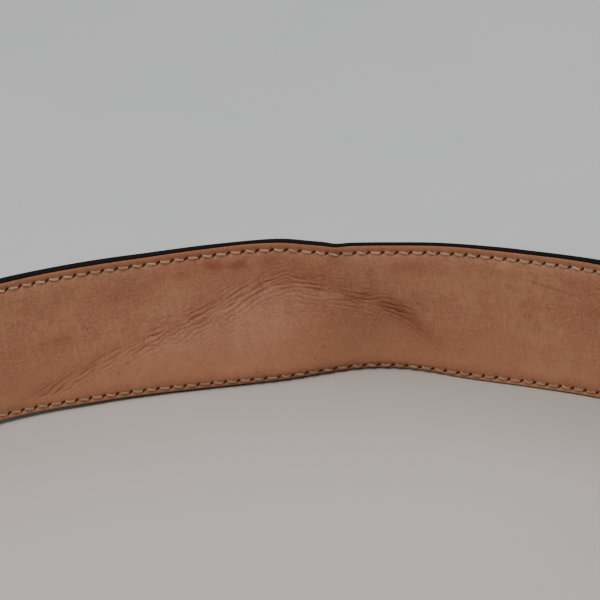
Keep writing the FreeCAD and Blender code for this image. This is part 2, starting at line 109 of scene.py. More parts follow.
# how the strap stands along that stretch: (s, mm inwards) along its upper and its lower edge
TOP_LINE = (
    (640, -1), (600, -2.4), (570, -2.4), (550, -1.8), (537, -1.5), (525, -2.6), (510, -4.0), (500, -3.7),
    (492, -0.4), (485, 1.2), (478, 0.7), (467, 0.0), (459, -0.9), (450, -1.0), (430, -0.7), (410, -1.8),
    (390, -1.8),
)
LOW_LINE = (
    (640, 0), (600, 0), (580, 0.1), (570, 1.0), (560, 2.7), (550, 3.2), (530, 4.9), (511, 5.4), (501, 4.5),
    (491, 1.0), (481, -3.0), (471, -3.8), (461, -2.1), (451, 0.1), (441, 0.4), (430, 0.5), (420, 0.1),
    (400, -1.2),
)
TILT_FROM = -10  # how far past the middle line the sway of either edge reaches
SAG_STARTS, SAG_ENDS = (388, 408), (620, 700)
KINK_S, KINK_W = 485, 0.9  # a small kink in the upper edge

# how far the lower margin is curled back outwards
ROLL_LINE = (
    (590, 0), (550, -0.2), (530, -0.6), (511, -1.2), (501, -1.8), (491, -2.0), (481, -2.0), (471, -1.9),
    (461, -1.4), (452, -0.4), (440, 0),
)
ROLL_WIDTH = 3.2

# how much thicker than even the leathers are at the upper edge
THICK_LINE = (
    (600, 0), (545, -0.1), (513, -1.35), (500, -0.4), (490, -0.8), (479, -1.5), (466, -1.8), (450, -1.6),
    (436, -1.0), (410, -0.9),
)

# the long fold in the lining: (s, z) along it
FOLD_LINE = (
    (585, -19), (570, -13.8), (550, -6.2), (536, -2.9), (524, 0.4), (512, 4.9), (505, 8.0), (499, 8.9),
    (493, 7.8), (485, 5.6), (476, 3.0), (468, -0.8), (462, -6.5), (457, -12),
)
FOLD_STARTS, FOLD_ENDS = (453, 468), (566, 588)
TOP_SOFT, SOFT, THICK_SOFT = 3.5, 5.0, 6.0  # how much the corners of these lines are rounded

# faint blots in the lining: (strength, s, half length, z, half width)
BLOTS = (
    (0.35, 466, 3, 12, 1.8),
    (0.5, 409, 7, 6, 1.6),
    (0.45, 414, 4, 12, 1.6),
    (0.4, 565, 9, 0, 3.5),
    (0.3, 545, 8, 8, 3),
    (0.35, 461, 4, 13, 2.5),
)

# half a stitch: (distance from its middle, height above the leather, share of the full thickness)
HALF_STITCH = ((0, 0.3, 1.05), (0.7, 0.22, 1.0), (1.25, 0.0, 0.85), (1.5, -0.4, 0.62), (1.62, -0.8, 0.4))
THREAD_HIGH, THREAD_WIDE, THREAD_SUNK = 0.3, 0.4, 0.05
THREAD_SIDES = 8
STITCH_LEAN = 0.17

# the needle's slits, which lean the other way: half sizes, and the slant's cosine and sine
SLIT_LONG, SLIT_SHORT = 0.95, 0.34
SLIT_COS, SLIT_SIN = 0.85, 0.52


# --- small helpers ---


def step(x, low, high):
    """0 up to low and 1 from high, with a smooth rise between them."""
    t = np.clip((x - low) / (high - low), 0, 1)
    return t * t * (3 - 2 * t)


def bell(x, middle, half):
    return np.exp(-(((x - middle) / half) ** 2))


def ripple(s, z, length, seed):
    """Smooth random unevenness between about -1 and 1, whose waves are about this long."""
    rng = np.random.default_rng(seed)
    total = np.zeros_like(s)
    for _ in range(7):
        angle, phase = rng.uniform(0, 2 * math.pi, 2)
        k = 2 * math.pi / (length * rng.uniform(0.7, 1.5))
        total += np.sin(k * (s * math.cos(angle) + z * math.sin(angle)) + phase)
    return total / 3.5


def smooth_line(points, x, soft):
    """The height at x of a line through points, its corners rounded over this length."""
    points = sorted(points)
    grid = np.arange(points[0][0] - 4 * soft, points[-1][0] + 4 * soft, soft / 6)
    line = np.interp(grid, [p[0] for p in points], [p[1] for p in points])
    kernel = bell(np.arange(-18, 19), 0, 6)
    rounded = np.convolve(np.pad(line, 18, mode="edge"), kernel / kernel.sum(), mode="valid")
    return np.interp(x, grid, rounded)


# --- the belt's path ---


def make_stretches():
    """(start s, x, y, heading, radius) of each stretch of the path."""
    loop, curl = LOOP_RADIUS * LOOP_TURN, CURL_RADIUS * CURL_TURN
    s, x, y, heading = 0.0, -STRAIGHT, -LOOP_RADIUS, 0.0
    found = [(s, x, y, heading, None)]
    x, s = 0.0, STRAIGHT
    for length, radius in ((loop, LOOP_RADIUS), (curl, CURL_RADIUS), (0, END_RADIUS)):
        found.append((s, x, y, heading, radius))
        turned = heading + length / radius
        x += radius * (math.sin(turned) - math.sin(heading))
        y += radius * (math.cos(heading) - math.cos(turned))
        s, heading = s + length, turned
    return found


STRETCHES = make_stretches()


def path(s):
    """x, y and heading of the belt's line at each s."""
    x, y, heading = [np.empty_like(s) for _ in range(3)]
    for start, x0, y0, h0, radius in STRETCHES:
        here = s >= start if start > 0 else s < np.inf
        d = s[here] - start
        if radius is None:
            x[here], y[here], heading[here] = x0 + d, y0, h0
            continue
        turned = h0 + d / radius
        x[here] = x0 + radius * (np.sin(turned) - math.sin(h0))
        y[here] = y0 + radius * (math.cos(h0) - np.cos(turned))
        heading[here] = turned
    return x, y, heading


def frame_of_belt():
    """How the belt leans, and its loop's centre: the slider's hinge is the loop's own axis."""
    travel = next(j for j in frame["joints"] if j["name"] == "zip_slider_travel")
    lean = Vector((0, 0, 1)).rotation_difference(Vector(travel["axis"]))
    return np.array(lean.to_matrix()), np.array(travel["pos_m"])


LEAN, CENTRE = frame_of_belt()


def place(s, w, z):
    """Points of the frame, in metres, from places on the belt."""
    x, y, heading = path(s)
    points = np.stack([x - np.sin(heading) * w, y + np.cos(heading) * w, z + 0 * x], axis=-1)
    return points * 0.001 @ LEAN.T + CENTRE


# --- the strap's shape ---


def half_width(s):
    """The strap's half width: narrower at the buckle, and rounded at the tip."""
    along = np.clip((s - (LENGTH - TIP_LENGTH)) / TIP_LENGTH, 0, 1)
    tip = np.sqrt(np.maximum(1 - along**2, 0))
    widened = np.clip((s - NARROW_FROM) / (NARROW_TO - NARROW_FROM), 0, 1)
    return (HALF_WIDTH - NARROW * (1 - widened)) * tip


def from_edge(s, z):
    """Distance in from the nearer edge of the strap."""
    return half_width(s) - np.abs(z)


def seam_inset(z):
    """How far in from the strap's edge the sewing is."""
    return LOW_INSET + (TOP_INSET - LOW_INSET) * step(z, -8, 8)


def thin(s, z):
    """1 where the sewing squeezes the layers together, along the edges, and 0 in the middle."""
    inset = from_edge(s, z)
    squeeze = 1 - step(inset - seam_inset(z), -0.6, 3.2)
    margin = 0.3 * bell(inset, 0.9, 0.7)
    return (squeeze - margin) * (0.35 + 0.65 * step(s, 62, 85))


def in_view(s):
    """The irregular shape is where the belt has sagged: along the stretch that faces the camera."""
    return step(s, *SAG_STARTS) * (1 - step(s, *SAG_ENDS))


def sway(s, z):
    """How far inwards the whole strap stands from its even curve."""
    top = step(z, TILT_FROM, HALF_WIDTH) * smooth_line(TOP_LINE, s, TOP_SOFT)
    low = step(-z, TILT_FROM, HALF_WIDTH) * smooth_line(LOW_LINE, s, SOFT)
    kink = KINK_W * step(z, 13, HALF_WIDTH) * bell(s, KINK_S, 2.4)
    margin = np.clip((-z - HALF_WIDTH) / ROLL_WIDTH + 1, 0, 1)
    return (top + low + kink + margin**2 * smooth_line(ROLL_LINE, s, SOFT)) * in_view(s)


def edge_swell(s, z):
    """Extra thickness of the leathers at the upper edge."""
    return step(z, 13.5, 17.5) * smooth_line(THICK_LINE, s, THICK_SOFT) * in_view(s)


def across_fold(s, z):
    """Distance above the long fold, square to it."""
    height = smooth_line(FOLD_LINE, s, SOFT)
    slope = smooth_line(FOLD_LINE, s + 1, SOFT) - height
    return (z - height) / np.sqrt(1 + slope**2)


def fold_strength(s):
    return step(s, *FOLD_STARTS) * (1 - step(s, *FOLD_ENDS))


def fold(s, z):
    """The long fold's own depth, deepest along its line and easing out above and below."""
    valley = np.exp(-(np.sqrt(across_fold(s, z) ** 2 + 1.2) - 1.1) / 4.5)
    return -FOLD_DEPTH * valley * fold_strength(s) * step(from_edge(s, z), 0.5, 5)


def strands(s, z, pitch, slant, seed):
    """Fine wrinkles side by side, 1 at the bottom of each. Each wavers, and comes and goes."""
    waver = 0.5 * ripple(s, 0.3 * z, 15, seed)
    waver += 0.32 * ripple(s, z, 5, seed + 1) + 0.12 * ripple(s, z, 2.2, seed + 3)
    q = across_fold(s, z) + slant * (s - 500) + waver
    number = np.floor(q / pitch)
    off = (q / pitch - number - 0.5) * pitch
    strength = np.clip(0.56 + 0.8 * ripple(s, 9.0 * number, 8, seed + 2), 0, 1)
    return strength * bell(off, 0, 0.145 * pitch)


def wrinkles(s, z):
    """How deep the fine wrinkles are, from 0 to about 1."""
    q = across_fold(s, z)
    crowded = step(s, 466, 478) * (1 - step(s, 530, 556))
    broad = 2.0 + 1.7 * crowded
    main = strands(s, z, 1.45, 0.09, 41) * bell(q, -0.3, broad)
    main *= 1 - 0.6 * bell(s, 465, 6)
    faint = 0.7 * strands(s, z, 1.1, 0.13, 51) * bell(q, -0.6, broad + 1.0)
    fan = 1.1 * strands(s, z, 1.15, 0.45, 61) * bell(q, 0.6, 3.4) * bell(s, 468, 7)
    return (main + faint + fan) * fold_strength(s) * step(from_edge(s, z), 3.2, 5)


def seam_press(s, z):
    """The groove that the sewing pulls into the leather, deepest where the needle went in."""
    groove = bell(from_edge(s, z), seam_inset(z), 0.8)
    holes = bell((s / STITCH + 0.5) % 1.0, 0.5, 0.13)
    return -(GROOVE_DEPTH + NEEDLE_DEPTH * holes) * groove


def unevenness(s, z):
    soft = 0.1 * ripple(s, z, 34, 1) + 0.05 * ripple(s, z, 13, 2)
    return soft * step(s, 64, 90)


def lining_w(s, z):
    relief = fold(s, z) - WRINKLE_DEPTH * wrinkles(s, z) + seam_press(s, z) + unevenness(s, z)
    return FILLER + LINING - SQUEEZE * thin(s, z) + sway(s, z) + relief


def middle_w(s, z):
    return FILLER - 0.9 * SQUEEZE * thin(s, z) + sway(s, z) + 0.6 * fold(s, z) - 0.15


def flesh_w(s, z):
    return -0.1 * thin(s, z) + sway(s, z) + 0.3 * fold(s, z) - 0.3 * edge_swell(s, z)


def grain_w(s, z):
    relief = 0.3 * fold(s, z) - 0.6 * seam_press(s, z) - unevenness(s, z) - edge_swell(s, z)
    return -OUTER + 0.15 * thin(s, z) + sway(s, z) + relief


def lining_face(s, z, sink=0.0):
    return place(s, lining_w(s, z) - sink, z)


def lining_back(s, z, sink=0.0):
    return place(s, middle_w(s, z) + sink, z)


def filler_face(s, z, sink=0.0):
    return place(s, middle_w(s, z) - 0.02 - sink, z)


def filler_back(s, z, sink=0.0):
    return place(s, flesh_w(s, z) + 0.02 + sink, z)


def outer_at(t, z, grain, sink):
    """A point of the outer leather. Below zero, t runs back round the bar and along the flap."""
    back = np.maximum(-t - FOLD_LENGTH, 0)
    turn = np.clip(-t, 0, FOLD_LENGTH) / FOLD_RADIUS
    radius = FOLD_RADIUS + (OUTER - sink if grain else sink)
    side = grain_w(t, z) + sink if grain else flesh_w(t, z) - sink
    easing = step(back, 0, FLAP_DROP)
    flap_low = (2 * FOLD_RADIUS) * (1 - easing) + (lining_w(np.maximum(back, 14), z) + 0.03) * easing
    flap_side = flap_low + (OUTER + (FLAP - OUTER) * easing - sink if grain else sink)
    u = np.where(t >= 0, t, np.where(back > 0, back, -radius * np.sin(turn)))
    w = np.where(t >= 0, side, np.where(back > 0, flap_side, FOLD_RADIUS - radius * np.cos(turn)))
    return place(u, w, z)


def outer_face(t, z, sink=0.0):
    return outer_at(t, z, True, sink)


def outer_back(t, z, sink=0.0):
    return outer_at(t, z, False, sink)


def outer_half_width(t):
    """Like half_width, with the flap's end and its rounded corners."""
    from_end = np.clip(t + FOLD_LENGTH + FLAP_END, 0, FLAP_CORNER)
    corner = FLAP_CORNER - np.sqrt(FLAP_CORNER**2 - (FLAP_CORNER - from_end) ** 2)
    return np.where(t > 0, half_width(t), HALF_WIDTH - NARROW - corner)


# --- patterns cut in the flat, then bent ---


def lines_between(marks, spacing):
    """Grid lines through every mark, evenly spaced between marks, no further apart than spacing(middle)."""
    marks = sorted(set(round(m, 4) for m in marks))
    lines = []
    for low, high in zip(marks, marks[1:]):
        count = max(1, math.ceil((high - low) / spacing((low + high) / 2) - 1e-6))
        lines.extend(np.linspace(low, high, count, endpoint=False))
    return np.array(lines + [marks[-1]])


class Pattern:
    """A flat grid of quads with round-ended openings.

    Each opening is (s of one end's centre, s of the other's, radius). edge is each point's distance from
    the pattern's outer edge, and rim its distance from that or from an opening.
    """

    def __init__(self, s_lines, v_lines, openings, width):
        ns, nv = len(s_lines), len(v_lines)
        index = np.arange(ns * nv).reshape(ns, nv)
        scale = width(s_lines)[:, None] / HALF_WIDTH
        self.s = np.repeat(s_lines, nv)
        self.z = (v_lines[None, :] * scale).ravel()
        ends = np.minimum(self.s - s_lines[0], s_lines[-1] - self.s)
        self.edge = np.minimum(np.repeat(width(s_lines), nv) - np.abs(self.z), ends)
        self.rim = self.edge
        solid = np.ones((ns - 1, nv - 1), bool)
        quads, self.loops = [], []
        for first, last, radius in openings:
            i0, i1 = [int(np.argmin(np.abs(s_lines - x))) for x in patch_ends(first, last, radius)]
            j0, j1 = [int(np.argmin(np.abs(v_lines - x))) for x in (-PATCH, PATCH)]
            solid[i0:i1, j0:j1] = False
            sides = (index[i0:i1, j0], index[i1, j0:j1], index[i1:i0:-1, j1], index[i0, j1:j0:-1])
            ring = np.concatenate(sides)
            quads.append(self.cut(ring, first, last, radius))
        i, j = np.nonzero(solid)
        corners = (index[i, j], index[i + 1, j], index[i + 1, j + 1], index[i, j + 1])
        quads.append(np.stack(corners, axis=-1))
        self.quads = np.concatenate(quads)
        self.rows = [index[:, 0], index[:, -1]]
        self.ends = [index[0, :], index[-1, :]]

    def cut(self, ring, first, last, radius):
        """Rings of quads from a rectangle of the grid in to the opening's edge."""
        s, z = self.s[ring], self.z[ring]
        middle = np.clip(s, first, last)
        gap = np.hypot(s - middle, z)
        to_s, to_z = (s - middle) / gap, z / gap
        quads, outer = [], ring
        far = gap - radius
        for share in (0.72, 0.42, 0.2, 0.1, 0.04, 0.0):
            reach = radius + far * share
            inner = np.arange(len(self.s), len(self.s) + len(ring))
            self.s = np.append(self.s, middle + to_s * reach)
            self.z = np.append(self.z, to_z * reach)
            self.edge = np.append(self.edge, HALF_WIDTH - np.abs(to_z * reach))
            self.rim = np.append(self.rim, far * share)
            quads.append(np.stack([outer, np.roll(outer, -1), np.roll(inner, -1), inner], axis=-1))
            outer = inner
        self.loops.append(np.append(outer, outer[0]))
        return np.concatenate(quads)


def patch_ends(first, last, radius):
    margin = radius + PATCH_PAST
    return first - margin, last + margin


def s_marks(start, end, openings):
    marks = [start, end, *[m for m in (FINE_FROM, FINE_TO) if start < m < end]]
    for opening in openings:
        marks.extend(patch_ends(*opening))
    return marks


def spacing_at(s):
    if FINE_FROM < s < FINE_TO:
        return FINE
    near_fold = -FOLD_LENGTH - 16 < s < 2
    return AT_BAR if near_fold else COARSE


def add_object(name, data):
    made = bpy.data.objects.new(name, data)
    bpy.context.scene.collection.objects.link(made)
    return made


def new_object(name, points, faces):
    mesh = bpy.data.meshes.new(name)
    mesh.from_pydata(points.tolist(), [], faces)
    built = bmesh.new()
    built.from_mesh(mesh)
    bmesh.ops.recalc_face_normals(built, faces=built.faces)
    built.to_mesh(mesh)
    built.free()
    mesh.polygons.foreach_set("use_smooth", [True] * len(mesh.polygons))
    return add_object(name, mesh)


def set_uv(made, u, v):
    """Gives each point its place on the belt, in metres, as its texture coordinates."""
    mesh = made.data
    corner = np.empty(len(mesh.loops), int)
    mesh.loops.foreach_get("vertex_index", corner)
    layer = mesh.uv_layers.new(name="belt")
    layer.data.foreach_set("uv", (np.stack([u[corner], v[corner]], axis=-1) * 0.001).ravel())


def set_value(made, name, values):
    made.data.attributes.new(name, "FLOAT", "POINT").data.foreach_set("value", values)


def strap_lines(start, end, openings, fine_v):
    """The grid lines of a leather: along the belt, across its face and across its back."""
    near_tip = [end - 0.02 * k**2 for k in range(1, 20)] if end > LENGTH - 1 else []
    s_lines = lines_between(s_marks(start, end, openings) + near_tip, spacing_at)
    near_edges = [side * (HALF_WIDTH - d) for d in EDGE_STEPS for side in (-1, 1)]
    marks = [*near_edges, -PATCH, PATCH]
    v_face = lines_between(marks, lambda v: fine_v if abs(v) > PATCH else min(0.5, fine_v))
    inside = [v for v in v_face if abs(v) <= PATCH + 0.001] if openings else [0.0]
    v_back = np.array([-HALF_WIDTH, -HALF_WIDTH + 3, *inside, HALF_WIDTH - 3, HALF_WIDTH])
    return s_lines, v_face, v_back


def wall(a, b):
    """Quads between two rows of points."""
    return np.stack([a[:-1], a[1:], b[1:], b[:-1]], axis=-1).tolist()


def leather_layer(name, start, end, openings, face, back, width, fine_v, rounding):
    """One leather of the strap as a closed solid, its face's edges rounded and its openings cut through."""
    s_lines, v_face, v_back = strap_lines(start, end, openings, fine_v)
    front, rear = Pattern(s_lines, v_face, openings, width), Pattern(s_lines, v_back, openings, width)
    drop = np.clip(rounding - front.rim, 0, rounding)
    sink = rounding - np.sqrt(rounding**2 - drop**2)
    points = np.concatenate([face(front.s, front.z, sink), back(rear.s, rear.z, 0 * rear.s)])
    shift = len(front.s)
    faces = front.quads.tolist() + (rear.quads + shift).tolist()
    for a, b in zip(front.rows + front.loops, rear.rows + rear.loops):
        faces.extend(wall(a, b + shift))
    for a, b in zip(front.ends, rear.ends):
        faces.append(a.tolist() + (b[::-1] + shift).tolist())
    used = np.unique(np.concatenate([front.quads.ravel(), rear.quads.ravel() + shift]))
    renumber = np.full(len(points), -1)
    renumber[used] = np.arange(len(used))
    made = new_object(name, points[used], [renumber[corners].tolist() for corners in faces])
    s, z, edge = [np.concatenate([getattr(front, k), getattr(rear, k)])[used] for k in ("s", "z", "edge")]
    set_uv(made, s, z)
    set_value(made, "edge", edge)
    return made, s, z


def paint_edges(made, paint):
    """Gives the outer edges their paint: the faces whose points are all close to an edge."""
    edge = np.empty(len(made.data.vertices))
    made.data.attributes["edge"].data.foreach_get("value", edge)
    made.data.materials.append(paint)
    for polygon in made.data.polygons:
        if edge[list(polygon.vertices)].max() < PAINT_REACH:
            polygon.material_index = 1


# --- sewing ---


def unit(vectors):
    return vectors / np.linalg.norm(vectors, axis=1, keepdims=True)


def surface_frame(surface, s, z):
    """Point, direction along the belt, direction across it and outward normal at places on a surface."""
    d = 0.4
    here = surface(s, z)
    along = unit(surface(s + d, z) - surface(s - d, z))
    across = surface(s, z + d) - surface(s, z - d)
    across = unit(across - along * (along * across).sum(axis=1, keepdims=True))
    return here, along, across, np.cross(along, across)


def spaced(seam):
    """Places every stitch length along a seam given by its corner points, and the seam's direction there."""
    seam = np.array(seam, float)
    lengths = np.concatenate([[0], np.cumsum(np.hypot(*np.diff(seam, axis=0).T))])
    count = int(lengths[-1] / STITCH)
    at = (np.arange(count) + 0.5) * STITCH
    s, z = [np.interp(at, lengths, seam[:, k]) for k in (0, 1)]
    s2, z2 = [np.interp(at + 0.3, lengths, seam[:, k]) for k in (0, 1)]
    return s, z, np.arctan2(z2 - z, s2 - s)


def stitches(name, surface, inwards, seams, size=1.0):
    """Rows of stitches, each a short plump thread out of one needle hole and into the next."""
    shape = [(-reach, rise, fat) for reach, rise, fat in reversed(HALF_STITCH[1:])] + list(HALF_STITCH)
    turns = [2 * math.pi * n / THREAD_SIDES for n in range(THREAD_SIDES)]
    points, faces, us, vs = [], [], [], []
    for seam in seams:
        s, z, heading = spaced(seam)
        here, along, across, normal = surface_frame(surface, s, z)
        facing = -1 if inwards else 1
        outward, slant = normal * facing, heading - STITCH_LEAN * facing
        forward = along * np.cos(slant)[:, None] + across * np.sin(slant)[:, None]
        sideways = np.cross(outward, forward)
        for k in range(len(s)):
            faces.extend(tube_faces(len(points), len(shape)))
            for reach, rise, fat in shape:
                for angle in turns:
                    out = THREAD_HIGH * size * fat * math.sin(angle) + (rise - THREAD_SUNK) * size
                    side = THREAD_WIDE * size * fat * math.cos(angle)
                    offset = forward[k] * reach + outward[k] * out + sideways[k] * side
                    points.append(here[k] + offset * 0.001)
                    us.append(s[k] + reach)
                    vs.append(z[k] + side)
    made = new_object(name, np.array(points), faces)
    set_uv(made, np.array(us), np.array(vs))
    return made


def tube_faces(first, rings):
    """The faces of a closed tube whose points are numbered ring by ring from first."""
    faces = []
    for low in range(first, first + (rings - 1) * THREAD_SIDES, THREAD_SIDES):
        for n in range(THREAD_SIDES):
            after = (n + 1) % THREAD_SIDES
            faces.append((low + n, low + after, low + THREAD_SIDES + after, low + THREAD_SIDES + n))
    last = first + rings * THREAD_SIDES
    faces.append(tuple(range(first, first + THREAD_SIDES)))
    faces.append(tuple(range(last - THREAD_SIDES, last)))
    return faces


def edge_seam(start):
    """Two seams from the buckle end to the tip's middle, along the upper and along the lower edge."""
    first = math.ceil(start / STITCH) * STITCH
    turn_at = LENGTH - TIP_LENGTH
    seams = []
    for side in (1, -1):
        level = seam_inset(side * HALF_WIDTH)
        row = [(s, half_width(np.array([s]))[0] - level) for s in np.arange(first, turn_at, 2.0)]
        for angle in np.linspace(math.pi / 2, 0, 24):
            inset = seam_inset(side * HALF_WIDTH * math.sin(angle))
            s = turn_at + (TIP_LENGTH - inset) * math.cos(angle)
            row.append((s, (HALF_WIDTH - inset) * math.sin(angle)))
        seams.append([(s, side * z) for s, z in row])
    return seams


# --- materials ---


class Tree:
    """A material's nodes. Values may be numbers, colours or the sockets of other nodes."""

    def __init__(self, name):
        self.material = bpy.data.materials.new(name)
        self.material.use_nodes = True
        self.nodes, self.links = self.material.node_tree.nodes, self.material.node_tree.links
        self.shader = self.nodes["Principled BSDF"]

    def feed(self, socket, value):
        if isinstance(value, bpy.types.NodeSocket):
            self.links.new(value, socket)
        else:
            socket.default_value = value

    def add(self, kind, inputs, **settings):
        node = self.nodes.new(kind)
        for key, value in settings.items():
            setattr(node, key, value)
        for key, value in inputs.items():
            self.feed(node.inputs[key], value)
        return node

    def set(self, **inputs):
        for key, value in inputs.items():
            self.feed(self.shader.inputs[key.replace("_", " ")], value)

    def math(self, operation, a, b=0.0):
        return self.add("ShaderNodeMath", {0: a, 1: b}, operation=operation).outputs[0]

    def place(self, stretch=(1, 1, 1)):
        """Texture coordinates along the belt, in millimetres, pulled out by stretch."""
        uv = self.add("ShaderNodeUVMap", {}, uv_map="belt").outputs[0]
        return self.scaled(uv, [1000 / x for x in stretch])

    def solid_place(self, stretch=(1, 1, 1)):
        """Texture coordinates through the solid, in millimetres."""
        where = self.add("ShaderNodeTexCoord", {}).outputs["Object"]
        return self.scaled(where, [1000 / x for x in stretch])

    def scaled(self, vector, scale):
        return self.add("ShaderNodeMapping", {"Vector": vector, "Scale": scale}).outputs[0]

    def plus(self, a, b):
        return self.math("ADD", a, b)

    def minus(self, a, b):
        return self.math("SUBTRACT", a, b)

    def times(self, a, b):
        return self.math("MULTIPLY", a, b)

    def axis(self, vector, letter):
        return self.add("ShaderNodeSeparateXYZ", {"Vector": vector}).outputs[letter]

    def noise(self, where, size, detail=3.0, rough=0.5, twist=0.0):
        inputs = {"Vector": where, "Scale": 1 / size, "Detail": detail, "Roughness": rough}
        return self.add("ShaderNodeTexNoise", {**inputs, "Distortion": twist}).outputs[0]

    def cells(self, where, size, feature="F1"):
        inputs = {"Vector": where, "Scale": 1 / size}
        return self.add("ShaderNodeTexVoronoi", inputs, feature=feature).outputs[0]

    def range(self, value, low, high, to_low=0.0, to_high=1.0):
        inputs = {0: value, 1: low, 2: high, 3: to_low, 4: to_high}
        return self.add("ShaderNodeMapRange", inputs, interpolation_type="SMOOTHSTEP").outputs[0]

    def mix(self, share, a, b):
        node = self.nodes.new("ShaderNodeMix")
        node.data_type = "RGBA"
        for index, value in ((0, share), (6, a), (7, b)):
            self.feed(node.inputs[index], value)
        return node.outputs[2]

    def value(self, name):
        return self.add("ShaderNodeAttribute", {}, attribute_name=name).outputs["Fac"]

    def bump(self, height, depth):
        """Relief of this depth in millimetres, for a height from 0 to 1."""
        inputs = {"Height": height, "Distance": depth * 0.001, "Strength": 1.0}
        return self.add("ShaderNodeBump", inputs).outputs[0]


def colour(*eye):
    """A colour given as the eye sees it, each part from 0 to 255."""
    parts = [part / 255 for part in eye]
    return (*[c / 12.92 if c <= 0.04045 else ((c + 0.055) / 1.055) ** 2.4 for c in parts], 1.0)


BLACK_PAINT = colour(14, 11, 10)


def needle_slits(tree):
    """1 inside the slanted needle holes of both edge rows, from the places that the sewing gives them."""
    where = tree.place()
    s, z = tree.axis(where, "X"), tree.axis(where, "Y")
    row = tree.range(z, -1, 1, LOW_INSET - HALF_WIDTH, HALF_WIDTH - TOP_INSET)
    across = tree.minus(z, row)
    share = tree.math("FRACT", tree.plus(tree.math("DIVIDE", s, STITCH), 0.5))
    along = tree.times(tree.minus(share, 0.5), STITCH)
    long_way = tree.minus(tree.times(across, SLIT_SIN), tree.times(along, SLIT_COS))
    short_way = tree.plus(tree.times(along, SLIT_SIN), tree.times(across, SLIT_COS))
    a, b = tree.math("DIVIDE", long_way, SLIT_LONG), tree.math("DIVIDE", short_way, SLIT_SHORT)
    size = tree.math("SQRT", tree.plus(tree.times(a, a), tree.times(b, b)))
    sewn = tree.math("LESS_THAN", s, LENGTH - TIP_LENGTH)
    return tree.times(tree.range(size, 1.15, 0.7), sewn)


def lining_material():
    tree = Tree("tan_lining_leather")
    where = tree.place()
    broad = tree.noise(where, 22, 4, 0.55)
    cloudy = tree.noise(where, 6, 5, 0.6, 0.4)
    fine = tree.noise(where, 0.7, 4, 0.65)
    streaks = tree.noise(tree.place((9, 1, 1)), 1.1, 4, 0.6)
    pores = tree.range(tree.cells(where, 0.55), 0.0, 0.35)
    nap = tree.noise(tree.place((1, 3, 1)), 1.1, 4, 0.6)
    tan = tree.mix(tree.range(broad, 0.35, 0.65), colour(154, 107, 79), colour(141, 92, 67))
    height_up = tree.axis(where, "Y")
    # The tints below vary the leather's tone at random, except the last: painted light, which makes the
    # lining lighter towards its lower edge.
    tints_and_painted_light = (
        (cloudy, 0.4, 0.65, 0.8, colour(134, 86, 61)),
        (fine, 0.42, 0.62, 0.6, colour(168, 117, 84)),
        (nap, 0.42, 0.62, 0.33, colour(128, 81, 57)),
        (streaks, 0.5, 0.75, 0.35, colour(130, 80, 56)),
        (height_up, 2, -15, 0.4, colour(166, 115, 84)),
    )
    for pattern, low, high, most, tint in tints_and_painted_light:
        tan = tree.mix(tree.range(pattern, low, high, 0.0, most), tan, tint)
    pits = tree.range(tree.cells(tree.place((1, 1.4, 1)), 2.4), 0.17, 0.05, 0.0, 0.55)
    tan = tree.mix(tree.times(pits, tree.range(cloudy, 0.45, 0.6)), tan, colour(98, 58, 40))
    margin = tree.range(tree.value("edge"), 2.3, 1.6, 0.0, 0.4)
    tan = tree.mix(margin, tan, colour(152, 96, 64))
    # stains, with painted shade along the fold's valley
    tan = tree.mix(tree.times(tree.value("stain_and_painted_shade"), 0.75), tan, colour(118, 56, 34))
    # painted shade in the wrinkles' valleys, with the faint scratch beyond the fold's end
    tan = tree.mix(tree.times(tree.value("crease"), 0.72), tan, colour(102, 44, 24))
    slits = needle_slits(tree)
    # painted shade: the needle holes are painted a dark red-brown
    tan = tree.mix(slits, tan, colour(58, 12, 0))
    ragged = tree.plus(tree.value("edge"), tree.times(tree.noise(where, 1.4, 3), 0.3))
    ragged = tree.plus(ragged, tree.range(height_up, 5, -5, 0.0, 0.28))
    paint = tree.range(ragged, 0.44, 0.34)
    tan = tree.mix(paint, tan, BLACK_PAINT)
    height = tree.plus(tree.times(fine, 0.6), tree.times(pores, 0.4))
    height = tree.plus(height, tree.times(streaks, 0.5))
    height = tree.minus(height, tree.times(slits, 1.5))
    tree.set(
        Base_Color=tan,
        Roughness=tree.range(cloudy, 0.3, 0.7, 0.5, 0.64),
        Normal=tree.bump(height, 0.09),
        Specular_IOR_Level=0.34,
    )
    return tree.material


def black_leather_material():
    tree = Tree("black_leather")
    where = tree.place()
    pebbles = tree.cells(where, 0.9, "SMOOTH_F1")
    fine = tree.noise(where, 0.35, 3, 0.6)
    broad = tree.noise(where, 18, 4, 0.6)
    wear = tree.noise(tree.place((6, 1, 1)), 2.2, 5, 0.7)
    black = tree.mix(tree.range(broad, 0.3, 0.7), colour(24, 22, 21), colour(31, 28, 26))
    black = tree.mix(tree.range(wear, 0.6, 0.8, 0.0, 0.4), black, colour(52, 47, 43))
    rubbed = tree.range(tree.value("edge"), 1.3, 0.3, 0.0, 0.5)
    black = tree.mix(rubbed, black, BLACK_PAINT)
    height = tree.plus(tree.times(pebbles, 0.8), tree.times(fine, 0.35))
    tree.set(
        Base_Color=black,
        Roughness=tree.range(wear, 0.3, 0.8, 0.4, 0.6),
        Normal=tree.bump(height, 0.1),
        Specular_IOR_Level=0.22,
    )
    return tree.material


def edge_paint_material():
    """Matt black edge paint, with the fibres of the leathers showing through as fine ridges."""
    tree = Tree("edge_paint")
    ridges = tree.noise(tree.place((6, 1, 1)), 0.5, 3, 0.6)
    lumps = tree.noise(tree.solid_place(), 1.2, 3, 0.6)
    black = tree.mix(tree.range(lumps, 0.3, 0.7), colour(13, 8, 7), colour(21, 14, 12))
    height = tree.plus(ridges, lumps)
    tree.set(Base_Color=black, Roughness=0.7, Normal=tree.bump(height, 0.08), Specular_IOR_Level=0.04)
    return tree.material


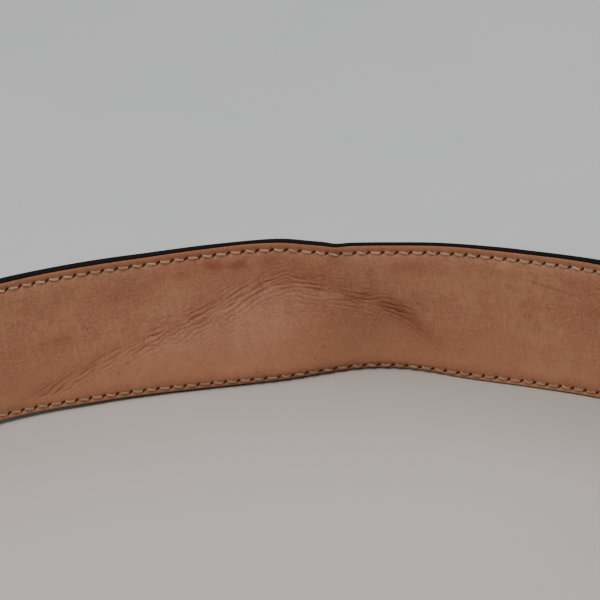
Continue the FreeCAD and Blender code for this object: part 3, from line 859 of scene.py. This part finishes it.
def filler_material():
    """Bonded leather board, seen only at the painted edges and inside the pocket."""
    tree = Tree("filler_leather")
    where = tree.place()
    speckle = tree.noise(where, 0.5, 4, 0.7)
    brown = tree.mix(tree.range(speckle, 0.35, 0.65), colour(120, 84, 62), colour(86, 58, 44))
    brown = tree.mix(tree.range(tree.value("edge"), 0.6, 0.3), brown, BLACK_PAINT)
    fuzz = tree.noise(where, 0.2, 2)
    tree.set(Base_Color=brown, Roughness=0.6, Normal=tree.bump(fuzz, 0.05), Specular_IOR_Level=0.2)
    return tree.material


def woven_material(name, dark, light, thread):
    """A plain weave whose threads are this wide, in millimetres."""
    tree = Tree(name)
    where = tree.place()
    waves = [tree.math("SINE", tree.times(tree.axis(where, k), math.pi / thread)) for k in ("X", "Y")]
    weave = tree.range(tree.times(*waves), -0.8, 0.8)
    fuzz = tree.noise(where, 0.25, 3, 0.7)
    # painted shading: the weave's colour is darker between the threads and lighter on their crowns
    shade = tree.times(weave, tree.range(fuzz, 0.2, 0.8, 0.6, 1.0))
    height = tree.plus(weave, tree.times(fuzz, 0.4))
    tree.set(
        Base_Color=tree.mix(shade, dark, light),
        Roughness=0.85,
        Normal=tree.bump(height, thread * 0.25),
        Sheen_Weight=0.25,
    )
    return tree.material


def thread_material(name, shade_and_dirt, light):
    """Thread of two twisted plies, with its fibres."""
    tree = Tree(name)
    on_belt = tree.place()
    twist = tree.plus(tree.times(tree.axis(on_belt, "X"), 2.6), tree.times(tree.axis(on_belt, "Y"), 9.0))
    plies = tree.range(tree.math("SINE", twist), -0.9, 0.6, 0.4, 1.0)
    where = tree.solid_place()
    fibres = tree.noise(where, 0.12, 3, 0.7)
    soiled = tree.noise(where, 5, 3, 0.6)
    shade = tree.times(plies, tree.range(fibres, 0.25, 0.75, 0.65, 1.0))
    tone = tree.mix(tree.range(soiled, 0.35, 0.7, 0.0, 0.45), tree.mix(shade, shade_and_dirt, light), shade_and_dirt)
    # painted shade: the threads grow darker towards the floor
    painted_shade_near_floor = tree.range(tree.axis(where, "Z"), 15, 8, 0.0, 0.35)
    tone = tree.mix(painted_shade_near_floor, tone, shade_and_dirt)
    height = tree.plus(plies, tree.times(fibres, 0.5))
    tree.set(Base_Color=tone, Roughness=0.72, Normal=tree.bump(height, 0.08), Sheen_Weight=0.2)
    return tree.material


def metal_material(name, bright, dull, rough, brushed):
    """Plated metal: faint brushing, a duller bloom in places and fine scratches."""
    tree = Tree(name)
    where = tree.solid_place()
    bloom = tree.noise(where, 7, 5, 0.6)
    lines = tree.noise(tree.solid_place(brushed), 0.16, 3, 0.6)
    scratch = tree.range(tree.noise(tree.solid_place((14, 1, 3)), 0.5, 5, 0.75), 0.66, 0.74)
    tone = tree.mix(tree.range(bloom, 0.35, 0.7), bright, dull)
    dulled = tree.range(bloom, 0.3, 0.75, rough, rough + 0.14)
    roughness = tree.plus(dulled, tree.times(scratch, 0.12))
    height = tree.plus(lines, tree.times(scratch, 0.6))
    tree.set(Base_Color=tone, Metallic=1.0, Roughness=roughness, Normal=tree.bump(height, 0.012))
    return tree.material


def dress(made, material, body="strap"):
    """Gives a new piece its material and the body it rides on."""
    made.data.materials.clear()
    made.data.materials.append(material)
    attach(made, body)


# --- the strap's pieces ---


def slot_and_screws():
    """The outer leather's openings round the buckle, on the belt and again on the flap."""
    slot_end = SLOT_END - SLOT_HALF
    found = [(-FOLD_LENGTH - slot_end, slot_end, SLOT_HALF)]
    for s in SCREW_S:
        found.extend([(s, s, SCREW_HOLE), (-FOLD_LENGTH - s, -FOLD_LENGTH - s, SCREW_HOLE)])
    return found


def make_strap(leather, black, filling, paint):
    punched = [(s, s, HOLE_RADIUS) for s in HOLE_S]
    screws = [(s, s, SCREW_HOLE) for s in SCREW_S]
    window = [(ZIP_START + WINDOW_HALF, ZIP_END - WINDOW_HALF, WINDOW_HALF)]
    end = LENGTH - 0.02
    span, openings = (LAYERS_START, end), punched + screws + window
    lining, s, z = leather_layer(
        "lining_leather", *span, openings, lining_face, lining_back, half_width, FINE, 0.4
    )
    # stains, with painted shade along the fold's valley
    set_value(lining, "stain_and_painted_shade", stains_and_painted_shade(s, z))
    # painted shade in the wrinkles' valleys, with a faint scratch
    set_value(lining, "crease", painted_crease_shade_and_scratch(s, z))
    dress(lining, leather)
    paint_edges(lining, paint)
    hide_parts("lining")
    span, openings = (-FOLD_LENGTH - FLAP_END + 0.02, end), punched + slot_and_screws()
    outer, _, _ = leather_layer(
        "outer_leather", *span, openings, outer_face, outer_back, outer_half_width, 0.8, 0.6
    )
    dress(outer, black)
    paint_edges(outer, paint)
    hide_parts("outer_strap")
    make_filler(filling, paint, punched + screws, end)


def make_filler(filling, paint, openings, end):
    """The filler, with the pocket cut out of it."""
    pocket = (ZIP_START - POCKET_PAST, ZIP_END + POCKET_PAST)
    pieces = []
    for start, stop in ((LAYERS_START, pocket[0]), (pocket[1], end)):
        here = [o for o in openings if start < o[0] < stop]
        sides = (filler_face, filler_back)
        pieces.append(leather_layer("filler_piece", start, stop, here, *sides, half_width, 1.5, 0.1)[0])
    for side in (-1, 1):
        s_lines = np.linspace(*pocket, 160)
        v_lines = np.array([POCKET_HALF, 15.0, 16.0, 17.0, 18.0, HALF_WIDTH])
        pieces.append(plain_band("filler_rail", s_lines, side * v_lines, filler_face, filler_back))
    joined = join("filler_leather", pieces)
    dress(joined, filling)
    paint_edges(joined, paint)
    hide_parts("filler")


def plain_band(name, s_lines, z_lines, face, back):
    """A closed band with no openings."""
    ns, nz = len(s_lines), len(z_lines)
    s, z = np.repeat(s_lines, nz), np.tile(z_lines, ns)
    points = np.concatenate([face(s, z), back(s, z)])
    shift = ns * nz
    index = np.arange(shift).reshape(ns, nz)
    corners = (index[:-1, :-1], index[1:, :-1], index[1:, 1:], index[:-1, 1:])
    sheet = np.stack(corners, axis=-1).reshape(-1, 4)
    faces = sheet.tolist() + (sheet + shift).tolist()
    for row in (index[:, 0], index[:, -1], index[0, :], index[-1, :]):
        faces.extend(wall(row, row + shift))
    made = new_object(name, points, faces)
    set_uv(made, np.tile(s, 2), np.tile(z, 2))
    set_value(made, "edge", np.tile(from_edge(s, z), 2))
    return made


def join(name, pieces):
    bpy.ops.object.select_all(action="DESELECT")
    for piece in pieces:
        piece.select_set(True)
    bpy.context.view_layer.objects.active = pieces[0]
    bpy.ops.object.join()
    pieces[0].name = pieces[0].data.name = name
    return pieces[0]


def stains_and_painted_shade(s, z):
    """Darker, redder patches in the lining: by the upper sewing, over the upper part, below the fold and a
    few faint blots, with painted shade along the fold's valley.
    """
    by_seam = 0.85 * bell(s, 514, 14) * bell(z, 13.8, 1.6) * np.clip(0.45 + 0.9 * ripple(s, z, 5, 11), 0, 1)
    q = across_fold(s, z)
    # painted shade along the fold's valley, darker near its end at s 468
    painted_fold_shade = 0.2 * bell(q, 0.3, 3.2) * fold_strength(s) + 0.42 * bell(s, 468, 7) * bell(q, 0.5, 2.8)
    upper = 0.14 * step(z, 6, 13) * step(s, 455, 475) * (1 - step(s, 520, 545))
    lower = 0.14 * step(-q, 0, 5) * step(s, 495, 515) * (1 - step(s, 548, 575))
    blots = np.zeros_like(s)
    for strength, blot_s, half_s, blot_z, half_z in BLOTS:
        blots += strength * bell(s, blot_s, half_s) * bell(z, blot_z, half_z)
    patches = blots * (0.8 + 0.4 * ripple(s, z, 6, 12))
    return np.clip(by_seam + painted_fold_shade + upper + lower + patches, 0, 1)


def painted_crease_shade_and_scratch(s, z):
    """Painted shade in the wrinkles' valleys, and the faint old scratch beyond the fold's end."""
    scratch = 0.5 * bell(z, 11.5 - 0.17 * (430 - s), 0.35) * bell(s, 423, 9)
    return np.clip((0.85 + 0.3 * bell(s, 480, 15)) * wrinkles(s, z) + scratch, 0, 1)


def make_zip(tape, cloth):
    """The zip's woven tapes and the cloth inside the pocket."""
    ends = (ZIP_START - POCKET_PAST + TAPE_GAP, ZIP_END + POCKET_PAST - TAPE_GAP)
    s_lines = np.linspace(*ends, 260)
    z_lines = np.array([TEETH_EDGE, 2.6, 3.2, 4.0, 5.0, 7.0, 9.5, TAPE_EDGE])

    def face(s, z):
        off = np.abs(z)
        cord = (0.1 * bell(off, 2.7, 0.35) + 0.03 * ripple(s, z, 14, 31)) * (1 - step(off, 4.2, 4.6))
        return place(s, FILLER - 0.03 - 0.08 * step(off, 4.4, 4.8) + cord, z)

    def back(s, z):
        return place(s, FILLER - TAPE + 0 * s, z)

    for side, name in ((1, "upper"), (-1, "lower")):
        made = plain_band(f"zip_tape_weave_{name}", s_lines, side * z_lines, face, back)
        dress(made, tape)
        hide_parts(f"zip_tape_{name}")
    s_lines = np.linspace(ends[0] + CLOTH_GAP, ends[1] - CLOTH_GAP, 200)
    z_lines = np.linspace(-POCKET_HALF + CLOTH_SIDE_GAP, POCKET_HALF - CLOTH_SIDE_GAP, 30)

    def cloth_face(s, z):
        return place(s, 0.11 + 0.03 * ripple(s, z, 9, 33), z)

    def cloth_back(s, z):
        return place(s, 0.03 + 0 * s, z)

    made = plain_band("pocket_cloth", s_lines, z_lines, cloth_face, cloth_back)
    dress(made, cloth)
    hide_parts("pocket_backing")


def make_sewing(beige, black):
    edge = edge_seam(INNER_START)
    window = WINDOW_HALF + ZIP_INSET
    first, last = ZIP_START + WINDOW_HALF, ZIP_END - WINDOW_HALF
    turns = np.linspace(-math.pi / 2, math.pi / 2, 17)
    right = [(last + window * math.cos(a), window * math.sin(a)) for a in turns]
    left = [(first - window * math.cos(a), -window * math.sin(a)) for a in turns]
    inner = stitches("stitches_inner", lining_face, True, edge)
    dress(inner, beige)
    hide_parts("thread_inner_upper", "thread_inner_lower")
    around = stitches("stitches_zip", lining_face, True, [right + left + right[:1]], size=0.8)
    dress(around, beige)
    outer = stitches("stitches_outer", outer_face, False, edge_seam(OUTER_START))
    dress(outer, black)
    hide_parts("thread_outer_upper", "thread_outer_lower")
    rows = []
    for side in (-1, 1):
        level = side * (HALF_WIDTH - NARROW - seam_inset(side * HALF_WIDTH))
        rows.append([(-FOLD_LENGTH - s, level) for s in FLAP_SEAM])
    flap = stitches("stitches_flap", outer_face, False, rows)
    dress(flap, black)


# --- the keeper ---


def keeper_profile(half, wall):
    """The keeper's leather in section, its edges rounded and a crease pressed in beside each."""
    edge = [(0.5, 0.0), (0.1, 0.2), (0.0, 0.6), (0.0, 1.05), (0.25, 1.45)]
    crease = [(0.7, wall), (1.3, wall - 0.02), (1.6, wall - 0.16), (1.9, wall - 0.02), (4.0, wall)]
    upper = [(half - back, depth) for back, depth in edge + crease]
    return upper + [(-u, depth) for u, depth in reversed(upper)]


def make_keeper(black):
    """A leather band bent into a rounded rectangle, its two edges softened and creased."""
    w0, w1 = KEEPER_W
    corner = 1.2
    low, high, top = w0 + corner, w1 - corner, KEEPER_Z - corner
    outline = []
    for k, (w, z) in enumerate(((high, top), (low, top), (low, -top), (high, -top))):
        outline.extend(arc(w, z, corner, 90 * k))
    outline = dense_loop(outline, 0.9)
    half = KEEPER_WIDTH / 2
    profile = keeper_profile(half, KEEPER_WALL)
    points, us, vs, edges = [], [], [], []
    length = 0.0
    for k, (w, z, nw, nz) in enumerate(outline):
        if k:
            length += math.hypot(w - outline[k - 1][0], z - outline[k - 1][1])
        for u, d in profile:
            points.append((KEEPER_S + u, w + nw * d, z + nz * d))
            us.append(length)
            vs.append(u)
            edges.append(max(0.0, half - abs(u)))
    s, w, z = np.array(points).T
    count, sides = len(outline), len(profile)
    faces = []
    for k in range(count):
        a, b = k * sides, (k + 1) % count * sides
        faces.extend((a + n, a + (n + 1) % sides, b + (n + 1) % sides, b + n) for n in range(sides))
    made = new_object("keeper_band", place(s, w, z), faces)
    set_uv(made, np.array(us), np.array(vs))
    set_value(made, "edge", np.array(edges))
    dress(made, black, "keeper")
    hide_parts("keeper_loop")


def arc(w, z, radius, start):
    """A corner as (w, z, and the outward direction), turning a quarter from start degrees."""
    found = []
    for k in range(7):
        angle = math.radians(start + 15 * k)
        nw, nz = math.cos(angle), math.sin(angle)
        found.append((w + radius * nw, z + radius * nz, nw, nz))
    return found


def dense_loop(outline, spacing):
    """Adds points along the straight runs between the corners."""
    found = []
    for here, after in zip(outline, outline[1:] + outline[:1]):
        count = max(1, round(math.hypot(after[0] - here[0], after[1] - here[1]) / spacing))
        for k in range(count):
            t = k / count
            found.append(tuple(a + (b - a) * t for a, b in zip(here, after)))
    return found


# --- the stage ---


def make_floor():
    mesh = bpy.data.meshes.new("floor")
    mesh.from_pydata([(-5, -5, 0), (5, -5, 0), (5, 5, 0), (-5, 5, 0)], [], [(0, 1, 2, 3)])
    tree = Tree("pale_floor")
    where = tree.solid_place()
    far = tree.axis(where, "Y")
    cloth = tree.range(tree.noise(where, 60, 3), 0.3, 0.7)
    # painted light: inside the loop the floor is tinted warm, the tan light bounced from the lining painted
    # in
    painted_warm_bounce = tree.mix(tree.range(far, 40, 120), colour(187, 180, 173), colour(181, 173, 166))
    pale = tree.mix(cloth, colour(195, 194, 193), colour(192, 192, 191))
    in_loop = tree.range(far, 250, 140)
    tree.set(Base_Color=tree.mix(in_loop, pale, painted_warm_bounce), Roughness=0.8, Specular_IOR_Level=0.2)
    mesh.materials.append(tree.material)
    floor = add_object("floor", mesh)


def area_light(name, where, aim, size, power):
    light = bpy.data.lights.new(name, "AREA")
    light.shape, light.size, light.size_y = "RECTANGLE", *size
    light.energy = power
    made = add_object(name, light)
    made.location = where
    made.rotation_euler = (Vector(aim) - Vector(where)).to_track_quat("-Z", "Y").to_euler()


def make_light():
    world = bpy.data.worlds.new("studio")
    world.use_nodes = True
    back = world.node_tree.nodes["Background"]
    back.inputs["Color"].default_value = (0.95, 0.97, 1.0, 1.0)
    back.inputs["Strength"].default_value = 0.55
    bpy.context.scene.world = world
    area_light("key", (-0.5, -0.9, 1.5), (0, 0.1, 0.02), (1.6, 1.2), 26)
    area_light("fill", (1.3, 0.2, 1.2), (0, 0, 0.02), (1.2, 1.2), 9)


def make_camera():
    """A long lens one metre from the far side of the loop, looking down at it and rolled a little."""
    elevation, roll, distance = math.radians(20.9), math.radians(-4.575), 1.0
    aim = Vector((0.01388, 0.140, 0.02326))
    ahead = Vector((0, math.cos(elevation), -math.sin(elevation)))
    right, up = Vector((1, 0, 0)), Vector((0, math.sin(elevation), math.cos(elevation)))
    turned_right = right * math.cos(roll) + up * math.sin(roll)
    turned_up = up * math.cos(roll) - right * math.sin(roll)
    camera = bpy.data.cameras.new("camera")
    camera.lens, camera.sensor_width = 220.06, 36.0
    camera.clip_start = 0.02
    turn = Matrix((turned_right, turned_up, -ahead)).transposed().to_4x4()
    made = add_object("camera", camera)
    made.matrix_world = Matrix.Translation(aim - ahead * distance) @ turn
    bpy.context.scene.camera = made


def dress_hardware(nickel, brass):
    """Gives the CAD's own metal pieces their materials."""
    plated = ("screw_posts", "screws", "buckle_frame", "buckle_bar", "buckle_prong", "keeper_staple")
    zip_parts = ("teeth_upper", "teeth_lower", "top_stops", "bottom_stop", "slider", "pull")
    for metal, names in ((nickel, plated), (brass, [f"zip_{part}" for part in zip_parts])):
        for name in names:
            nodes[name].data.materials.clear()
            nodes[name].data.materials.append(metal)


def main():
    leather = lining_material()
    black = black_leather_material()
    make_strap(leather, black, filler_material(), edge_paint_material())
    tape = woven_material("zip_tape", colour(14, 13, 13), colour(44, 42, 40), 0.22)
    cloth = woven_material("pocket_fabric", colour(26, 25, 24), colour(58, 56, 53), 0.3)
    make_zip(tape, cloth)
    beige = thread_material("inner_thread", colour(100, 68, 47), colour(190, 153, 119))
    make_sewing(beige, thread_material("outer_thread", colour(10, 10, 10), colour(38, 36, 35)))
    make_keeper(black)
    nickel = metal_material("nickel", (0.6, 0.58, 0.54, 1), (0.5, 0.48, 0.45, 1), 0.2, (1, 1, 12))
    brass = metal_material("zip_brass", (0.6, 0.44, 0.2, 1), (0.42, 0.3, 0.14, 1), 0.26, (1, 1, 8))
    dress_hardware(nickel, brass)
    make_floor()
    make_light()
    make_camera()


main()
